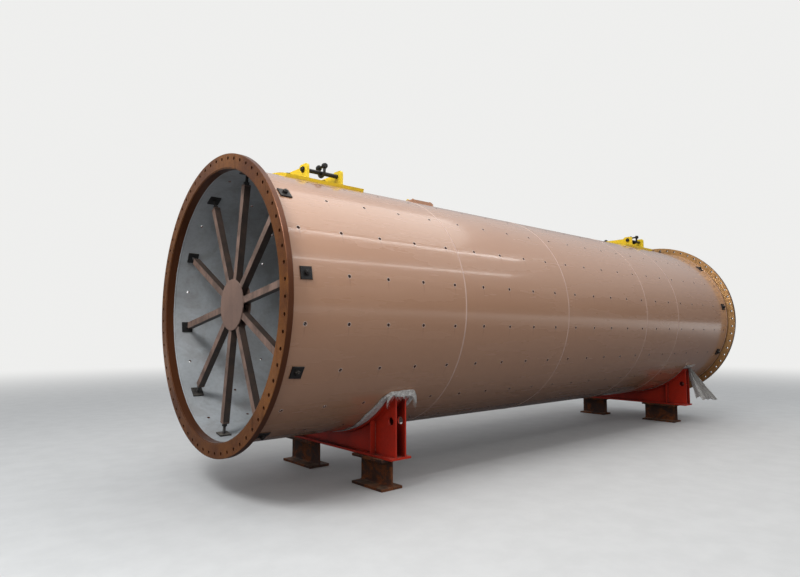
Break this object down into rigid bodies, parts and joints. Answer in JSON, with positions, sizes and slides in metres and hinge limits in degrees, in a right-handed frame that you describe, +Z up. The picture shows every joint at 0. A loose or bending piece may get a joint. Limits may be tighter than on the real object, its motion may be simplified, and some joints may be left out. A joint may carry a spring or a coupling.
{
  "type": "ball mill",
  "caption": "Long cylindrical mill shell with flanged open ends braced by spoked spiders, resting on two red saddles over stub beams, with yellow lifting brackets on top.",
  "frame": {"origin": "on the floor under the middle of the mill", "axes": "+X along the mill axis from the near end to the far end, -Y the side seen in the picture, +Z up"},
  "size_m": [10.534, 3.2898, 3.798],
  "materials": {
    "shell_paint": "semi-gloss copper paint",
    "flange_varnish": "brown rust-preventive varnish",
    "spider_primer": "matt primer",
    "black_steel": "black paint",
    "saddle_red": "red oxide paint",
    "rusty_steel": "rusty rolled steel",
    "white_cloth": "woven packing cloth",
    "lifting_yellow": "bright yellow paint"
  },
  "bodies": {
    "root": {"near_flange": "flange_varnish", "far_flange": "flange_varnish", "near_spider_hub": "spider_primer", "far_spider_hub": "spider_primer", "near_spider_arms": "spider_primer", "far_spider_arms": "spider_primer", "near_jack_screws": "black_steel", "far_jack_screws": "black_steel", "near_foot_plates": "black_steel", "far_foot_plates": "black_steel", "near_clamp_plates": "black_steel", "far_clamp_plates": "black_steel", "near_saddle_base": "saddle_red", "far_saddle_base": "saddle_red", "near_saddle_webs": "saddle_red", "far_saddle_webs": "saddle_red", "near_saddle_cradle": "saddle_red", "far_saddle_cradle": "saddle_red", "near_saddle_ribs": "saddle_red", "far_saddle_ribs": "saddle_red", "near_front_stub": "rusty_steel", "near_back_stub": "rusty_steel", "far_front_stub": "rusty_steel", "far_back_stub": "rusty_steel", "near_packing_cloth": "white_cloth", "far_packing_cloth": "white_cloth", "far_hanging_cloth": "white_cloth", "near_bracket_base": "lifting_yellow", "far_bracket_base": "lifting_yellow", "near_lug_plates": "lifting_yellow", "far_lug_plates": "lifting_yellow", "near_lifting_pins": "black_steel", "far_lifting_pins": "black_steel", "near_shackles": "black_steel", "far_shackles": "black_steel", "near_bracket_bolts": "black_steel", "far_bracket_bolts": "black_steel", "manhole_frame": "shell_paint", "manhole_cover": "shell_paint", "shell_course_1": "shell_paint", "shell_course_2": "shell_paint", "shell_course_3": "shell_paint", "shell_course_4": "shell_paint", "shell_course_5": "shell_paint"}
  },
  "joints": []
}
